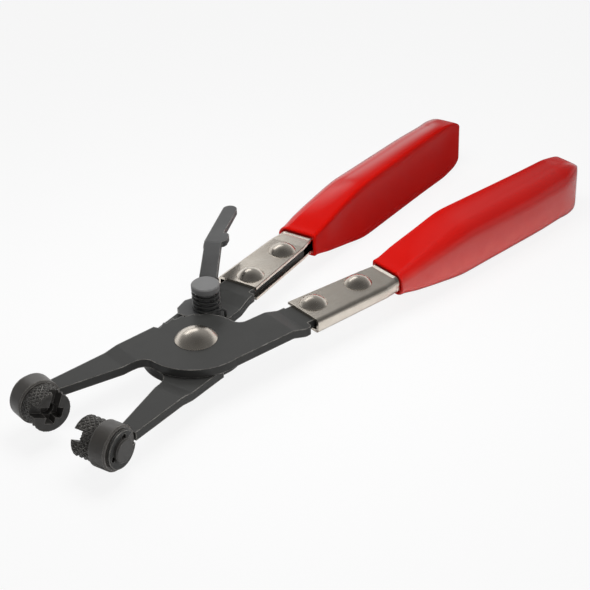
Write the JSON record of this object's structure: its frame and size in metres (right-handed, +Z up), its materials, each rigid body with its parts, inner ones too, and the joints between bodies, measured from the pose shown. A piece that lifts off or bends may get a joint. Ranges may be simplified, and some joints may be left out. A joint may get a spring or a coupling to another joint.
{
  "type": "hose clamp pliers",
  "caption": "Swivel jaw hose clamp pliers with a ratchet lock lever, riveted sheet handles and red dipped grips, half open.",
  "frame": {"origin": "under the middle of the overall box, at the height of its lowest point, the flat underside of the grips", "axes": "+X from the jaws towards the handles' ends, +Y towards the lower arm's handle, +Z up along the main pivot"},
  "size_m": [0.2268, 0.072, 0.0261],
  "materials": {
    "black_steel": "satin",
    "knurled_steel": "satin",
    "spring_steel": "satin",
    "brushed_nickel": "brushed",
    "polished_nickel": "polished",
    "red_vinyl": "gloss"
  },
  "bodies": {
    "lower_arm": {"lower_arm_plate": "black_steel", "lower_jaw_collar": "black_steel", "lower_handle_channel": "brushed_nickel", "lower_handle_rivet_front": "polished_nickel", "lower_handle_rivet_rear": "polished_nickel", "lower_grip": "red_vinyl", "main_pivot_rivet": "polished_nickel", "lock_stud": "black_steel", "lock_spring": "spring_steel"},
    "upper_arm": {"upper_arm_plate": "black_steel", "upper_jaw_collar": "black_steel", "upper_handle_channel": "brushed_nickel", "upper_handle_rivet_front": "polished_nickel", "upper_handle_rivet_rear": "polished_nickel", "upper_grip": "red_vinyl"},
    "upper_jaw": {"upper_jaw": "knurled_steel", "upper_jaw_clip": "black_steel"},
    "lower_jaw": {"lower_jaw": "knurled_steel", "lower_jaw_clip": "black_steel"},
    "lock_lever": {"lock_lever": "black_steel"}
  },
  "joints": [
    {"name": "main_pivot", "type": "hinge", "parent": "lower_arm", "child": "upper_arm", "pos_m": [-0.05481, -0.00104, 0.0111], "axis": [0, 0, 1], "range_deg": [-30, 13]},
    {"name": "upper_jaw_swivel", "type": "hinge", "parent": "upper_arm", "child": "upper_jaw", "pos_m": [-0.10717, 0.00594, 0.0118], "axis": [0.1564, 0.9877, 0], "continuous": true},
    {"name": "lower_jaw_swivel", "type": "hinge", "parent": "lower_arm", "child": "lower_jaw", "pos_m": [-0.10717, -0.00801, 0.0104], "axis": [0.1564, -0.9877, 0], "continuous": true},
    {"name": "lock_lever_pivot", "type": "hinge", "parent": "lower_arm", "child": "lock_lever", "pos_m": [-0.03904, 0.00996, 0.0111], "axis": [0, 0, -1], "range_deg": [0, 20], "stiffness_Nm_per_rad": 0.05, "springref_deg": -34.38, "deforming": ["lock_spring"]}
  ]
}
